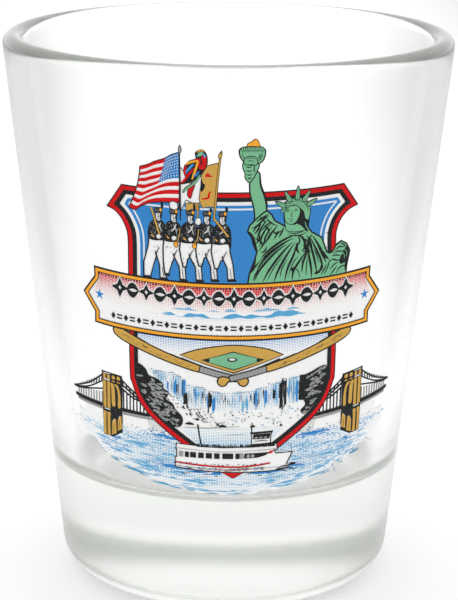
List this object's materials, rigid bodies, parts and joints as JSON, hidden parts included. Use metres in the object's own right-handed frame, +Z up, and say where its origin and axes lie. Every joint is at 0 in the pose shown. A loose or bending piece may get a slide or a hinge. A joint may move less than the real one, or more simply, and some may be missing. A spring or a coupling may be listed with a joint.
{
  "type": "shot glass",
  "caption": "Tapered clear pressed-glass tumbler with a heavy base, a fire-polished lip and a fired, screen-printed souvenir decal on the front.",
  "frame": {"origin": "centre of the foot, in the plane the glass stands on", "axes": "+Z up along the glass's axis, towards the lip; -Y through the middle of the print, so the print faces -Y; +X to the right of someone facing the print"},
  "size_m": [0.0484, 0.0484, 0.06],
  "materials": {
    "glass_body": "clear pressed soda-lime glass, fire-polished",
    "decal_white_underprint": "fired screen-printed enamel, soft gloss",
    "decal_red_ink": "fired screen-printed enamel, soft gloss",
    "decal_black_ink": "fired screen-printed enamel, soft gloss",
    "decal_blue_ink": "fired screen-printed enamel, soft gloss",
    "decal_sky_blue_ink": "fired screen-printed enamel, soft gloss",
    "decal_green_ink": "fired screen-printed enamel, soft gloss",
    "decal_tan_ink": "fired screen-printed enamel, soft gloss",
    "decal_gold_ink": "fired screen-printed enamel, soft gloss",
    "decal_grey_ink": "fired screen-printed enamel, soft gloss"
  },
  "bodies": {
    "root": {"glass_body": "glass_body", "decal_white_underprint": "decal_white_underprint", "decal_red_ink": "decal_red_ink", "decal_black_ink": "decal_black_ink", "decal_blue_ink": "decal_blue_ink", "decal_sky_blue_ink": "decal_sky_blue_ink", "decal_green_ink": "decal_green_ink", "decal_tan_ink": "decal_tan_ink", "decal_gold_ink": "decal_gold_ink", "decal_grey_ink": "decal_grey_ink"}
  },
  "joints": []
}
